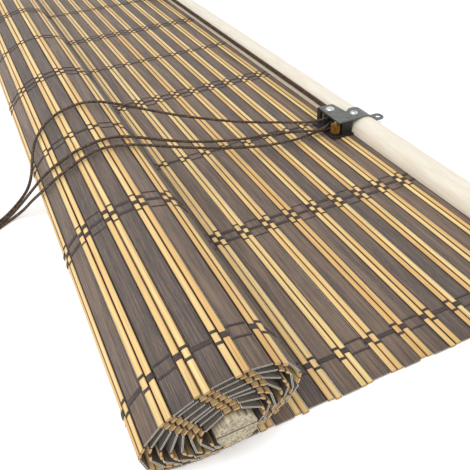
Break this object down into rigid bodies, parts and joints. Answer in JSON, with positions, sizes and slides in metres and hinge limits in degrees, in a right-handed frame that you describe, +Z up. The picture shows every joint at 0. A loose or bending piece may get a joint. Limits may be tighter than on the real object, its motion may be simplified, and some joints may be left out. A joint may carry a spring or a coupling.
{
  "type": "bamboo roll up blind",
  "caption": "Woven bamboo roll-up blind with half-round head rail, cord lock and pull cords, lying flat with its lower part rolled up.",
  "frame": {"origin": "bottom centre of the blind without its free pull cords, on the surface it lies on", "axes": "+X down the drop reversed, from the roll towards the head rail; +Y along the slats; +Z up, out of the blind's front face"},
  "size_m": [0.4027, 1.0092, 0.0544],
  "materials": {
    "bamboo": "dark slats and pale stick pairs, satin",
    "thread": "matt twisted thread",
    "rail_paint": "thin off-white paint, satin",
    "batten_wood": "raw planed wood",
    "nail_steel": "plain drawn steel",
    "bracket_steel": "blue-grey plating, satin",
    "lock_black": "black paint, semi-gloss",
    "wheel_plastic": "black moulded plastic",
    "rivet_steel": "bright zinc",
    "roller_brass": "knurled, worn",
    "cord": "braided dark brown",
    "tassel_wood": "stained and varnished"
  },
  "bodies": {
    "blind": {"mat_unrolled": "bamboo", "mat_rolled": "bamboo", "clamped_slat": "bamboo", "head_rail": "rail_paint", "rail_nails": "nail_steel", "bottom_batten_upper": "batten_wood", "bottom_batten_lower": "batten_wood", "batten_nails": "nail_steel", "lock_bracket": "bracket_steel", "lock_body": "lock_black", "lock_screw": "rivet_steel", "lock_wheel_axle": "rivet_steel", "pulley_bracket": "bracket_steel", "pulley_body": "lock_black", "pulley_screw": "rivet_steel", "pulley_axle": "rivet_steel", "rail_cord_upper": "cord", "rail_cord_lower": "cord", "near_lift_cord": "cord", "pull_cord_a": "cord", "pull_cord_b": "cord", "pull_cord_c": "cord", "pull_cord_coil": "cord", "pull_cord_ends": "cord", "coil_tie": "cord", "cord_tassel": "tassel_wood"},
    "lock_wheel": {"lock_wheel": "wheel_plastic"},
    "lock_roller_pin": {"lock_roller_pin": "rivet_steel"},
    "lock_roller": {"lock_roller": "roller_brass"},
    "pulley_wheel": {"pulley_wheel": "wheel_plastic"}
  },
  "joints": [
    {"name": "lock_wheel_spin", "type": "hinge", "parent": "blind", "child": "lock_wheel", "pos_m": [0.10808, -0.2384, 0.0082], "axis": [0, 0, 1], "continuous": true},
    {"name": "lock_pin_slide", "type": "slide", "parent": "blind", "child": "lock_roller_pin", "axis": [0, 1, 0], "range_m": [0, 0.0018]},
    {"name": "lock_roller_spin", "type": "hinge", "parent": "lock_roller_pin", "child": "lock_roller", "pos_m": [0.09992, -0.2605, 0.0082], "axis": [0, 0, 1], "continuous": true},
    {"name": "pulley_wheel_spin", "type": "hinge", "parent": "blind", "child": "pulley_wheel", "pos_m": [0.10808, 0.2476, 0.0082], "axis": [0, 0, 1], "continuous": true}
  ]
}
